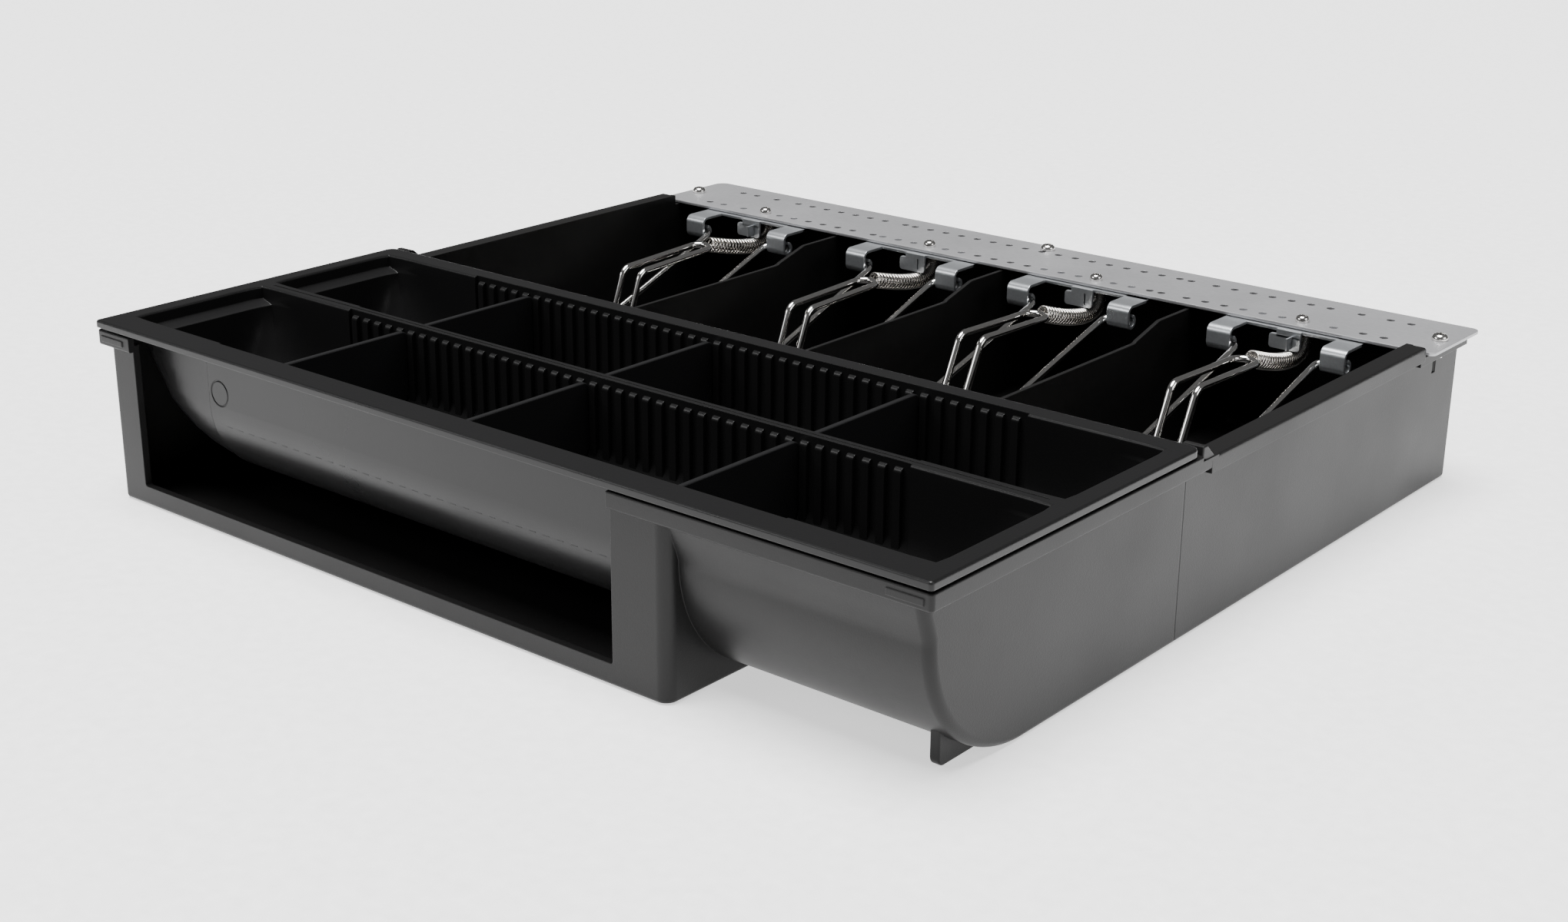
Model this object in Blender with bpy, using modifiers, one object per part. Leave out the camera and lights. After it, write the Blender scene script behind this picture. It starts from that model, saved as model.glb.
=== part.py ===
"""Till tray of a cash drawer: moulded body, lift-out coin tray with movable dividers,
perforated steel bar with four hinged, sprung wire note clips.

Metres, +Z up. X runs across the tray, +Y towards the hinge bar at the back.
The model's own frame has its origin under the centre of the tray's footprint.
"""

import math

import bmesh
import bpy
from mathutils import Matrix, Vector

# ---------------------------------------------------------------- driving dimensions
DEPTH = 0.3250            # front of the coin flange to the back of the hinge bar
FLANGE_HALF = 0.1750      # half width of the coin tray's flange and the body's collar
WALL_HALF = 0.1702        # half width over the body's side walls
WALL = 0.0024             # moulded wall thickness
FLOOR_TOP = 0.0024        # top of the body's floor
COLLAR_Z = (0.0548, 0.0600)       # collar under the coin tray's flange
COLLAR_FRONT = 0.0008     # the collar stands back this far below the flange
COLLAR_END = 0.1372
RIM_Z = (0.0533, 0.0586)  # rim beside the note bays
RIM_Y = (0.1365, 0.2840)
BACK = 0.3235             # back face of the body
BAR_SEAT = 0.0546         # what the hinge bar lies on

FRAME_FRONT = 0.0020      # front face of the slot's frame
SLOT_X = (-0.1573, 0.0640)        # large-note slot
SLOT_Z = 0.0070           # top of the slot's lower bar
POST_RIGHT = 0.0850       # right side of the post beside the slot
SHELL_RADIUS = 0.0430     # big radius under the front right corner
SHELL_FRONT = 0.0070      # shell's front where that radius starts

CROSS_WALL_Y = (0.1275, 0.1300)   # wall between coins and notes
PARTITION_X = (-0.0820, 0.0, 0.0820)
PARTITION_THICK = 0.0015
PARTITION_LOW = 0.0493    # partition top beside the notes
PARTITION_STEP = (0.2490, 0.2658) # where it climbs to the bar

FLANGE_Z = (0.0609, 0.0634)
WELL_CENTRES = (0.0380, 0.0970)   # Y of the front and the back row's axis
WELL_AXIS_Z = 0.0420      # height of the half-pipes' axis
WELL_HALF = 0.0265        # half-pipe radius at the rib crests
WELL_END = 0.1680         # well half length at the flange
END_ZONE = 0.1270         # where the plain, rounded well ends start
RIB_ZONE = 0.1205
RIB_DEPTH = 0.0013
RIB_PITCH = 0.0057
RIB_WIDTH = 0.0029
RIB_TOP = 0.0615
RIB_FIRST = -0.11765
RIB_COUNT = 42
DIVIDER_X = (-0.0920, -0.0065, 0.0790)
DIVIDER_TOP = 0.0613
DIVIDER_THICK = 0.0020

BAR_HALF = 0.1770
BAR_Y = (0.2863, 0.3250)
BAR_Z = (0.0549, 0.0561)
HOLE_PITCH = 0.00778
HOLE_RADIUS = 0.0014
HOLE_ROWS = (0.2928, 0.3149)
HOLES_PER_SIDE = 20
HOLES_SKIPPED = (9, 17, 18)
HOLES_BETWEEN = (0.0672, 0.1366)

CLIP_X = (-0.1245, -0.0389, 0.0389, 0.1245)
CLIP_SCREW_Y = 0.2928
BAR_SCREWS = ((-0.1713, 0.3034), (0.0, 0.3190), (0.1713, 0.3034))
PIVOT_Y = 0.2755
PIVOT_Z = 0.0482
EAR_X = (0.0174, 0.0267)  # each ear, from the clip's centre
SHEET = 0.0012            # bracket sheet thickness
CURL_RADIUS = 0.00225     # middle of the curled sheet
WIRE_RADIUS = 0.0013
ARM_X = 0.0155
LEG_X = 0.0046
HAIRPIN_Y = 0.2500        # where the clip's two legs turn into its hairpin
CLIP_LOWER = (4.0, 3.4, 0.0, 0.0)  # degrees each clip lies below the highest ones
SPRING_RADIUS = 0.0032

# ---------------------------------------------------------------- scene and helpers
for old in list(bpy.data.objects):
    bpy.data.objects.remove(old, do_unlink=True)

parts = bpy.data.collections.new("cash_drawer_till_tray")
cutters = bpy.data.collections.new("cutters")
bpy.context.scene.collection.children.link(parts)
bpy.context.scene.collection.children.link(cutters)

origin = bpy.data.objects.new("tray_origin", None)
origin.location = (0.0, -DEPTH / 2.0, 0.0)
parts.objects.link(origin)


def material(name, colour, roughness, metallic):
    made = bpy.data.materials.new(name)
    made.use_nodes = True
    shader = made.node_tree.nodes["Principled BSDF"]
    shader.inputs["Base Color"].default_value = (*colour, 1.0)
    shader.inputs["Roughness"].default_value = roughness
    shader.inputs["Metallic"].default_value = metallic
    made.diffuse_color = (*colour, 1.0)
    return made


def add_object(name, bm, group=None):
    """Turn a bmesh into an object, in the parts or the cutters."""
    bmesh.ops.recalc_face_normals(bm, faces=bm.faces)
    mesh = bpy.data.meshes.new(name)
    bm.to_mesh(mesh)
    bm.free()
    thing = bpy.data.objects.new(name, mesh)
    (group or cutters).objects.link(thing)
    thing.parent = origin
    if group is None:
        thing.hide_render = True
        thing.display_type = "WIRE"
    return thing


def add_cube(bm, low, high):
    centre = [(a + b) / 2.0 for a, b in zip(low, high)]
    size = [b - a for a, b in zip(low, high)]
    matrix = Matrix.Translation(centre) @ Matrix.Diagonal((*size, 1.0))
    bmesh.ops.create_cube(bm, size=1.0, matrix=matrix)


def box(name, low, high, group=None):
    bm = bmesh.new()
    add_cube(bm, low, high)
    return add_object(name, bm, group)


def cylinder(name, radius, foot, top, sides=16, group=None):
    """A cylinder from foot to top."""
    foot = Vector(foot)
    run = Vector(top) - foot
    turn = run.to_track_quat("Z", "Y").to_matrix().to_4x4()
    matrix = Matrix.Translation(foot + run / 2.0) @ turn
    bm = bmesh.new()
    bmesh.ops.create_cone(bm, cap_ends=True, segments=sides, radius1=radius, radius2=radius,
                          depth=run.length, matrix=matrix)
    return add_object(name, bm, group)


def mesh_from_curve(name, curve, matrix, group=None):
    """Evaluate a curve, weld its caps and keep it as a mesh object."""
    guide = bpy.data.objects.new(name + "_curve", curve)
    cutters.objects.link(guide)
    guide.matrix_world = matrix
    bpy.context.view_layer.update()
    seen = guide.evaluated_get(bpy.context.evaluated_depsgraph_get())
    mesh = bpy.data.meshes.new_from_object(seen)
    bm = bmesh.new()
    bm.from_mesh(mesh)
    bmesh.ops.remove_doubles(bm, verts=bm.verts, dist=0.000001)
    bm.transform(matrix)
    bpy.data.objects.remove(guide, do_unlink=True)
    return add_object(name, bm, group)


ALONG_X = Matrix(((0, 0, 1, 0), (1, 0, 0, 0), (0, 1, 0, 0), (0, 0, 0, 1)))
ALONG_Z = Matrix.Identity(4)


def outline_solid(name, outline, low, high, frame, group=None):
    """Extrude a flat outline between low and high along the frame's third axis."""
    curve = bpy.data.curves.new(name, "CURVE")
    curve.dimensions = "2D"
    curve.fill_mode = "BOTH"
    curve.extrude = (high - low) / 2.0
    spline = curve.splines.new("POLY")
    spline.points.add(len(outline) - 1)
    for point, (u, v) in zip(spline.points, outline):
        point.co = (u, v, 0.0, 1.0)
    spline.use_cyclic_u = True
    lift = Matrix.Translation((0.0, 0.0, (low + high) / 2.0))
    return mesh_from_curve(name, curve, frame @ lift, group)


def wire(name, points, radius, resolution, group=None):
    """A round wire through the points."""
    curve = bpy.data.curves.new(name, "CURVE")
    curve.dimensions = "3D"
    curve.bevel_depth = radius
    curve.bevel_resolution = resolution
    curve.use_fill_caps = True
    spline = curve.splines.new("POLY")
    spline.points.add(len(points) - 1)
    for point, place in zip(spline.points, points):
        point.co = (*place, 1.0)
    return mesh_from_curve(name, curve, Matrix.Identity(4), group)


def arc(centre, radius, start, end, steps):
    """Points on a circle, angles in degrees."""
    found = []
    for step in range(steps + 1):
        angle = math.radians(start + (end - start) * step / steps)
        found.append((centre[0] + radius * math.cos(angle), centre[1] + radius * math.sin(angle)))
    return found


def rounded_rectangle(low, high, rear, front, steps=3):
    """Rectangle with one corner radius at its rear (high) side and one at its front (low) side."""
    centres = ((high[0] - rear, high[1] - rear, 0.0, rear), (low[0] + rear, high[1] - rear, 90.0, rear),
               (low[0] + front, low[1] + front, 180.0, front), (high[0] - front, low[1] + front, 270.0, front))
    found = []
    for u, v, start, radius in centres:
        found += arc((u, v), radius, start, start + 90.0, steps)
    return found


def rounded_path(corners, radii, steps=4):
    """Follow straight runs between corners, each corner rounded by its radius."""
    corners = [Vector(corner) for corner in corners]
    found = [corners[0]]
    for index in range(1, len(corners) - 1):
        here = corners[index]
        back = (corners[index - 1] - here).normalized()
        ahead = (corners[index + 1] - here).normalized()
        half = back.angle(ahead) / 2.0
        reach = radii[index - 1] / math.tan(half)
        middle = here + (back + ahead).normalized() * (radii[index - 1] / math.sin(half))
        start = here + back * reach - middle
        end = here + ahead * reach - middle
        for step in range(steps + 1):
            turned = start.normalized().slerp(end.normalized(), step / steps)
            found.append(middle + turned * radii[index - 1])
    found.append(corners[-1])
    return found


def combine(target, other, operation):
    modifier = target.modifiers.new(other.name, "BOOLEAN")
    modifier.operation = operation
    modifier.solver = "EXACT"
    modifier.object = other


def cut(target, *others):
    for other in others:
        combine(target, other, "DIFFERENCE")


def join(target, *others):
    for other in others:
        combine(target, other, "UNION")


def bevel(target, width, segments=2, angle=40.0):
    modifier = target.modifiers.new("bevel", "BEVEL")
    modifier.width = width
    modifier.segments = segments
    modifier.limit_method = "ANGLE"
    modifier.angle_limit = math.radians(angle)


def finish(thing, look):
    thing.data.materials.clear()
    thing.data.materials.append(look)


# ---------------------------------------------------------------- moulded body
SHELL_CENTRE = (SHELL_FRONT + SHELL_RADIUS, SHELL_RADIUS)
SHELL_WALL = 0.0016
ABOVE = RIM_Z[1] + 0.0060
COIN_FLOOR = 0.0118       # ribs under the coin tray stop here


def outside_shell():
    """Side outline of what is cleared in front of the rounded front."""
    outline = [(-0.010, 0.0560), (-0.010, -0.010), (SHELL_CENTRE[0], -0.010)]
    outline += arc(SHELL_CENTRE, SHELL_RADIUS, 270.0, 180.0, 9)
    return outline + [(0.0052, 0.0490), (0.0034, 0.0536), (0.0032, 0.0560)]


def inside_shell(floor):
    """Side outline of the space behind the rounded front, above the given floor."""
    reach = SHELL_RADIUS - SHELL_WALL
    outline = [(CROSS_WALL_Y[0], floor), (CROSS_WALL_Y[0], ABOVE), (0.0058, ABOVE), (0.0060, 0.0540)]
    outline.append((0.0082, 0.0480))
    for y, z in arc(SHELL_CENTRE, reach, 180.0, 270.0, 12):
        if z > floor + 0.0004:
            outline.append((y, z))
    if floor > WALL + 0.0004:
        drop = SHELL_CENTRE[1] - floor
        outline.append((SHELL_CENTRE[0] - math.sqrt(reach * reach - drop * drop), floor))
    return outline


def make_body():
    body = box("tray_body", (-WALL_HALF, FRAME_FRONT, 0.0), (WALL_HALF, BACK, RIM_Z[1]), parts)
    bevel(body, 0.0012, 2)
    cut(body, outline_solid("outside_shell", outside_shell(), POST_RIGHT, 0.190, ALONG_X))
    foot_outline = [(0.0218, 0.018), (0.0218, 0.004), (0.0228, 0.0012), (0.0250, 0.0), (0.052, 0.0), (0.054, 0.018)]
    foot = outline_solid("foot_rib", foot_outline, 0.1604, 0.1636, ALONG_X)
    reach = FLANGE_HALF - 0.0004
    low, high = (-reach, COLLAR_FRONT), (reach, COLLAR_END)
    collar = outline_solid("collar", rounded_rectangle(low, high, 0.0010, 0.0016), COLLAR_Z[0], COLLAR_Z[1], ALONG_Z)
    join(body, foot, collar)
    for side in (-1.0, 1.0):
        label = "left" if side < 0 else "right"
        xs = sorted((side * (WALL_HALF - 0.004), side * FLANGE_HALF))
        rim = box("rim_" + label, (xs[0], RIM_Y[0], RIM_Z[0]), (xs[1], RIM_Y[1], RIM_Z[1] + 0.001))
        bevel(rim, 0.0014, 2)
        xs = sorted((side * (WALL_HALF - 0.004), side * (FLANGE_HALF - 0.0005)))
        ledge = box("bar_ledge_" + label, (xs[0], RIM_Y[1] - 0.002, 0.0515), (xs[1], BACK - 0.0035, BAR_SEAT + 0.001))
        bridge = box("collar_rim_" + label, (xs[0], COLLAR_END - 0.006, COLLAR_Z[0] + 0.0002),
                     (xs[1], RIM_Y[0] + 0.002, RIM_Z[1] + 0.0004))
        join(body, rim, ledge, bridge)
    cut(body, box("rim_trim", (-0.190, 0.1332, RIM_Z[1] - 0.0002), (0.190, 0.340, ABOVE + 0.002)),
        box("bar_space", (-0.190, RIM_Y[1], BAR_SEAT), (0.190, 0.340, ABOVE + 0.001)))
    stop_outline = [(0.1330, 0.0560), (0.1332, 0.0629), (0.1356, 0.0627), (0.1396, 0.0581), (0.1396, 0.0560)]
    for side in (-1.0, 1.0):
        label = "left" if side < 0 else "right"
        xs = sorted((side * (WALL_HALF + 0.0003), side * (FLANGE_HALF - 0.0002)))
        join(body, outline_solid("tray_stop_" + label, stop_outline, xs[0], xs[1], ALONG_X))
    for label, low_x, high_x in (("left", -0.1725, -0.1607), ("right", 0.1607, 0.1725)):
        join(body, box("latch_" + label, (low_x, 0.0, 0.0562), (high_x, 0.0020, 0.0583)))

    inner = WALL_HALF - WALL
    back = FRAME_FRONT + 0.0026
    cut(body, box("slot_space", (-inner, back, FLOOR_TOP), (SLOT_X[1], CROSS_WALL_Y[0], ABOVE)),
        box("post_space", (SLOT_X[1] + WALL, back, FLOOR_TOP), (POST_RIGHT - WALL, CROSS_WALL_Y[0], ABOVE)),
        outline_solid("shell_space", inside_shell(WALL + 0.0002), POST_RIGHT, inner + 0.0002, ALONG_X),
        outline_solid("coin_space", inside_shell(COIN_FLOOR), SLOT_X[1] - 0.003, POST_RIGHT + 0.003, ALONG_X),
        box("collar_space", (-FLANGE_HALF + 0.0026, 0.0028, COLLAR_Z[0] + 0.0022),
            (FLANGE_HALF - 0.0026, CROSS_WALL_Y[0] - 0.0002, ABOVE + 0.003)),
        box("slot_mouth", (SLOT_X[0], -0.004, SLOT_Z), (SLOT_X[1], 0.0080, ABOVE + 0.004)))

    walls = [-inner, *PARTITION_X, inner]
    for index in range(4):
        left = walls[index] + (PARTITION_THICK / 2.0 if index > 0 else 0.0)
        right = walls[index + 1] - (PARTITION_THICK / 2.0 if index < 3 else 0.0)
        cut(body, box("bay_%d" % (index + 1), (left, CROSS_WALL_Y[1], FLOOR_TOP), (right, BACK - WALL, ABOVE)))
    x, y = BAR_SCREWS[1]
    join(body, cylinder("screw_boss", 0.0045, (x, y, 0.0300), (x, y, BAR_SEAT + 0.0004), 12))
    low, high = PARTITION_STEP
    start = CROSS_WALL_Y[1] + 0.0004
    over = [(start, PARTITION_LOW), (low, PARTITION_LOW), (low + 0.0018, PARTITION_LOW + 0.0006),
            (high - 0.0018, BAR_SEAT - 0.0008), (high, BAR_SEAT - 0.0004), (BACK + 0.004, BAR_SEAT - 0.0004),
            (BACK + 0.004, ABOVE + 0.005), (start, ABOVE + 0.005)]
    for number, x in enumerate(PARTITION_X, 1):
        cut(body, outline_solid("over_partition_%d" % number, over, x - 0.0052, x + 0.0052, ALONG_X))
    for number, (x, y) in enumerate(BAR_SCREWS):
        cut(body, cylinder("screw_way_%d" % (number + 1), 0.0018, (x, y, 0.0440), (x, y, 0.0620), 10))
    return body


# ---------------------------------------------------------------- coin tray
def half_width(z, reach):
    """Half width of a half-pipe of radius reach at height z."""
    drop = max(0.0, WELL_AXIS_Z - z)
    return math.sqrt(max(reach * reach - drop * drop, 0.0))


def well_loft(name, centre, reach, end_top, end_low, levels, group=None):
    """A trough with plain sides whose ends go from square at the top to round at depth."""
    turns = 7
    bm = bmesh.new()
    rings = []
    for z, power in levels:
        wide = half_width(z, reach)
        length = end_top if z > 0.0576 else end_low
        bulge = (length - END_ZONE) * wide / reach
        ring = []
        for side in (1.0, -1.0):
            for step in range(2 * turns + 1):
                angle = math.pi * (0.5 - step / (2.0 * turns))
                sine, cosine = math.sin(angle), abs(math.cos(angle))
                if step in (0, 2 * turns):
                    cosine = 0.0
                out = (abs(sine) ** power + cosine ** power) ** (-1.0 / power)
                across, along = sine * out, cosine * out
                ring.append(bm.verts.new((side * (END_ZONE + bulge * along), centre + side * wide * across, z)))
        rings.append(ring)
    count = len(rings[0])
    for lower, upper in zip(rings, rings[1:]):
        for index in range(count):
            after = (index + 1) % count
            bm.faces.new((lower[index], lower[after], upper[after], upper[index]))
    bm.faces.new(rings[0])
    bm.faces.new(rings[-1])
    return add_object(name, bm, group)


def pipe_outline(centre, reach, top):
    """Half-pipe section with straight upper walls."""
    return [(centre + reach, top), (centre - reach, top)] + arc((centre, WELL_AXIS_Z), reach, 180.0, 360.0, 12)


def slot_outline(centre):
    """Section that sets the walls back behind the ribs and fades out above the curve."""
    wide = WELL_HALF + RIB_DEPTH
    return [(centre + wide, 0.0660), (centre - wide, 0.0660), (centre - wide, 0.0400), (centre - 0.0222, 0.0286),
            (centre + 0.0222, 0.0286), (centre + wide, 0.0400)]


def make_coin_tray():
    edge = FLANGE_HALF
    tray = outline_solid("coin_tray", rounded_rectangle((-edge, 0.0), (edge, 0.1317), 0.0035, 0.0016),
                         FLANGE_Z[0], FLANGE_Z[1], ALONG_Z, parts)
    bevel(tray, 0.0007, 1, 60.0)
    levels = ((0.0630, 14.0), (0.0605, 12.0), (0.0580, 8.0), (0.0573, 8.0), (0.0500, 4.0), (0.0420, 2.8),
              (0.0330, 2.4), (0.0255, 2.2), (0.0195, 2.1), (0.0162, 2.0))
    for index, centre in enumerate(WELL_CENTRES):
        outer_levels = [(z if z < 0.0620 else 0.0615, power) for z, power in levels[:-1]] + [(0.0140, 2.0)]
        shell = well_loft("well_shell_%d" % (index + 1), centre, WELL_HALF + 0.0018, WELL_END + 0.0018, 0.1650,
                          outer_levels)
        pipe = outline_solid("well_pipe_%d" % (index + 1),
                             pipe_outline(centre, WELL_HALF + 0.0026, 0.0619), -END_ZONE, END_ZONE, ALONG_X)
        join(tray, shell, pipe)
    for index, centre in enumerate(WELL_CENTRES):
        inside = [(z if z < 0.0620 else 0.0660, power) for z, power in levels]
        cut(tray, well_loft("well_space_%d" % (index + 1), centre, WELL_HALF, WELL_END, 0.1632, inside))
        cut(tray, outline_solid("rib_space_%d" % (index + 1), slot_outline(centre), -RIB_ZONE, RIB_ZONE, ALONG_X))

    bm = bmesh.new()
    for number in range(RIB_COUNT):
        x = RIB_FIRST + number * RIB_PITCH
        for centre in WELL_CENTRES:
            for side in (-1.0, 1.0):
                ys = sorted((centre + side * (WELL_HALF - 0.0002), centre + side * (WELL_HALF + RIB_DEPTH + 0.0003)))
                add_cube(bm, (x - RIB_WIDTH / 2.0, ys[0], 0.0360), (x + RIB_WIDTH / 2.0, ys[1], RIB_TOP))
    join(tray, add_object("divider_ribs", bm))

    middle = sum(WELL_CENTRES) / 2.0
    cut(tray, box("middle_groove", (-WELL_END + 0.003, middle - 0.0003, FLANGE_Z[1] - 0.0009),
                  (WELL_END - 0.003, middle + 0.0003, FLANGE_Z[1] + 0.002)))
    return tray


def divider_outline(centre):
    wide = WELL_HALF + RIB_DEPTH - 0.0005
    radius = 0.0025
    outline = arc((centre + wide - radius, DIVIDER_TOP - radius), radius, 0.0, 90.0, 3)
    outline += arc((centre - wide + radius, DIVIDER_TOP - radius), radius, 90.0, 180.0, 3)
    outline.append((centre - wide, 0.0410))
    reach = WELL_HALF - 0.0010
    start = 180.0 + math.degrees(math.asin(0.0105 / reach))
    outline += arc((centre, WELL_AXIS_Z), reach, start, 540.0 - start, 10)
    outline.append((centre + wide, 0.0410))
    return outline


# ---------------------------------------------------------------- hinge bar and clips
def hole_places():
    """X of the perforations: a regular pitch, some skipped, with others between."""
    found = [0.0]
    for number in range(1, HOLES_PER_SIDE + 1):
        if number not in HOLES_SKIPPED:
            found += [number * HOLE_PITCH, -number * HOLE_PITCH]
    for x in HOLES_BETWEEN:
        found += [x, -x]
    return found


def make_bar():
    low, high = (-BAR_HALF, BAR_Y[0]), (BAR_HALF, BAR_Y[1])
    bar = outline_solid("hinge_bar", rounded_rectangle(low, high, 0.0038, 0.0024), BAR_Z[0], BAR_Z[1], ALONG_Z, parts)
    bm = bmesh.new()
    for y in HOLE_ROWS:
        for x in hole_places():
            if y == CLIP_SCREW_Y and min(abs(x - clip) for clip in CLIP_X) < 0.004:
                continue
            matrix = Matrix.Translation((x, y, sum(BAR_Z) / 2.0))
            bmesh.ops.create_cone(bm, cap_ends=True, segments=8, radius1=HOLE_RADIUS, radius2=HOLE_RADIUS,
                                  depth=0.004, matrix=matrix)
    for x, y in [(clip, CLIP_SCREW_Y) for clip in CLIP_X] + list(BAR_SCREWS):
        matrix = Matrix.Translation((x, y, sum(BAR_Z) / 2.0))
        bmesh.ops.create_cone(bm, cap_ends=True, segments=10, radius1=0.0018, radius2=0.0018, depth=0.004,
                              matrix=matrix)
    cut(bar, add_object("bar_holes", bm))
    return bar


def ear(name, low_x, high_x):
    """A strap bent down in front of the bar, its end curled round the clip's pivot."""
    mid_z = BAR_Z[0] - 0.0003 - SHEET / 2.0
    front = PIVOT_Y - CURL_RADIUS
    path = [(0.2960, mid_z)]
    path += arc((front + 0.0022, mid_z - 0.0022), 0.0022, 90.0, 180.0, 4)
    path += arc((PIVOT_Y, PIVOT_Z), CURL_RADIUS, 180.0, 435.0, 12)
    bm = bmesh.new()
    rows = [[bm.verts.new((x, y, z)) for y, z in path] for x in (low_x, high_x)]
    for index in range(len(path) - 1):
        bm.faces.new((rows[0][index], rows[0][index + 1], rows[1][index + 1], rows[1][index]))
    strap = add_object(name, bm)
    solid = strap.modifiers.new("sheet", "SOLIDIFY")
    solid.thickness = SHEET
    solid.offset = 0.0
    solid.use_even_offset = True
    return strap


def make_bracket(number, x):
    top = BAR_Z[0] - 0.0003
    bracket = box("clip_bracket_%d" % number, (x - EAR_X[1], 0.2850, top - SHEET), (x + EAR_X[1], 0.2995, top), parts)
    bracket.parent = origin
    for label, low_x, high_x in (("left", x - EAR_X[1], x - EAR_X[0]), ("right", x + EAR_X[0], x + EAR_X[1])):
        join(bracket, ear("ear_%s_%d" % (label, number), low_x, high_x))
    neck = box("tab_neck_%d" % number, (x - 0.0052, 0.2838, 0.0515), (x + 0.0042, 0.2838 + SHEET, top))
    plate = box("tab_%d" % number, (x - 0.0080, 0.2838, 0.0472), (x + 0.0042, 0.2838 + SHEET, 0.0526))
    bevel(plate, 0.0012, 1, 60.0)
    slit = box("tab_slit_%d" % number, (x + 0.0006, 0.2800, 0.0482), (x + 0.0012, 0.2880, 0.0526))
    way = cylinder("bracket_screw_way_%d" % number, 0.0018, (x, CLIP_SCREW_Y, 0.0500), (x, CLIP_SCREW_Y, 0.0600), 10)
    join(bracket, neck, plate)
    cut(bracket, slit, way)
    return bracket


def clip_path():
    """Half of the clip's wire, from its hairpin back end to its pivot end."""
    arm = math.radians(16.3)
    reach = 0.0815
    front = Vector((PIVOT_Y - reach * math.cos(arm), PIVOT_Z - reach * math.sin(arm)))
    corners = [(LEG_X, HAIRPIN_Y, 0.0508), (LEG_X, 0.2110, 0.0520), (LEG_X, front.x + 0.0010, front.y),
               (ARM_X, front.x, front.y), (ARM_X, PIVOT_Y, PIVOT_Z), (0.0256, PIVOT_Y, PIVOT_Z)]
    path = rounded_path(corners, (0.0050, 0.0046, 0.0050, 0.0028), 5)
    hairpin = [(LEG_X * math.sin(math.radians(step * 22.5)), HAIRPIN_Y + LEG_X * math.cos(math.radians(step * 22.5)),
                0.0508) for step in range(0, 4)]
    return [Vector(point) for point in hairpin] + path


def make_clip(number, x):
    half = clip_path()
    points = [Vector((-p.x, p.y, p.z)) for p in reversed(half[1:])] + half
    hinge = bpy.data.objects.new("clip_axis_%d" % number, None)
    hinge.location = (x, PIVOT_Y, PIVOT_Z)
    hinge.rotation_euler = (math.radians(CLIP_LOWER[number - 1]), 0.0, 0.0)
    parts.objects.link(hinge)
    hinge.parent = origin
    pivot = Vector((0.0, PIVOT_Y, PIVOT_Z))
    clip = wire("bill_clip_%d" % number, [p - pivot for p in points], WIRE_RADIUS, 2, parts)
    clip.parent = hinge
    return clip


def spring_path(number):
    """Centre line of the extension spring, from the clip's hairpin to behind the tab."""
    drop = math.radians(CLIP_LOWER[number - 1])
    back = HAIRPIN_Y + LEG_X + WIRE_RADIUS + 0.0006
    start = Vector((back - PIVOT_Y, 0.0506 - PIVOT_Z))
    start = Vector((start.x * math.cos(drop) - start.y * math.sin(drop),
                    start.x * math.sin(drop) + start.y * math.cos(drop)))
    start += Vector((PIVOT_Y, PIVOT_Z))
    ends = (start, Vector((0.2720, 0.0454)), Vector((0.2885, 0.0408)), Vector((0.2967, 0.0425)),
            Vector((0.2967, 0.0512)))
    found = []
    for step in range(15):
        t = step / 14.0
        blend = [math.comb(4, k) * t ** k * (1.0 - t) ** (4 - k) for k in range(5)]
        place = sum((end * weight for end, weight in zip(ends, blend)), Vector((0.0, 0.0)))
        found.append(place)
    return found


def make_spring(number, x):
    return wire("clip_spring_%d" % number, [(x, p.x, p.y) for p in spring_path(number)], SPRING_RADIUS, 2, parts)


def make_screw(name, x, y, head_radius, length):
    """Pan-head screw: a turned profile with a cross recess."""
    seat = BAR_Z[1] + 0.0003
    top = seat + 0.0020
    profile = [(0.0, top), (head_radius * 0.50, top), (head_radius * 0.85, top - 0.0005), (head_radius, top - 0.0013),
               (head_radius, seat), (0.0014, seat), (0.0014, seat - length), (0.0, seat - length - 0.0006)]
    bm = bmesh.new()
    verts = [bm.verts.new((r, 0.0, z)) for r, z in profile]
    for start, end in zip(verts, verts[1:]):
        bm.edges.new((start, end))
    mesh = bpy.data.meshes.new(name)
    bm.to_mesh(mesh)
    bm.free()
    screw = bpy.data.objects.new(name, mesh)
    parts.objects.link(screw)
    screw.parent = origin
    screw.location = (x, y, 0.0)
    turned = screw.modifiers.new("turned", "SCREW")
    turned.steps = 12
    turned.render_steps = 12
    turned.use_merge_vertices = True
    turned.merge_threshold = 0.00001
    cross = bmesh.new()
    arm = head_radius * 0.55
    add_cube(cross, (x - arm, y - 0.0003, top - 0.0009), (x + arm, y + 0.0003, top + 0.001))
    first = add_object(name + "_cross_a", cross)
    cross = bmesh.new()
    add_cube(cross, (x - 0.0003, y - arm, top - 0.0009), (x + 0.0003, y + arm, top + 0.001))
    second = add_object(name + "_cross_b", cross)
    cut(screw, first, second)
    return screw


# ---------------------------------------------------------------- the object
black_plastic = material("tray_plastic", (0.060, 0.060, 0.063), 0.42, 0.0)
coin_plastic = material("coin_tray_plastic", (0.055, 0.055, 0.058), 0.38, 0.0)
divider_plastic = material("divider_plastic", (0.045, 0.046, 0.050), 0.30, 0.0)
bar_steel = material("bar_steel", (0.55, 0.55, 0.56), 0.38, 1.0)
bracket_steel = material("bracket_steel", (0.62, 0.63, 0.65), 0.28, 1.0)
clip_chrome = material("clip_chrome", (0.80, 0.79, 0.78), 0.08, 1.0)
spring_chrome = material("spring_chrome", (0.72, 0.70, 0.67), 0.15, 1.0)
screw_chrome = material("screw_chrome", (0.78, 0.77, 0.75), 0.12, 1.0)

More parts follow.
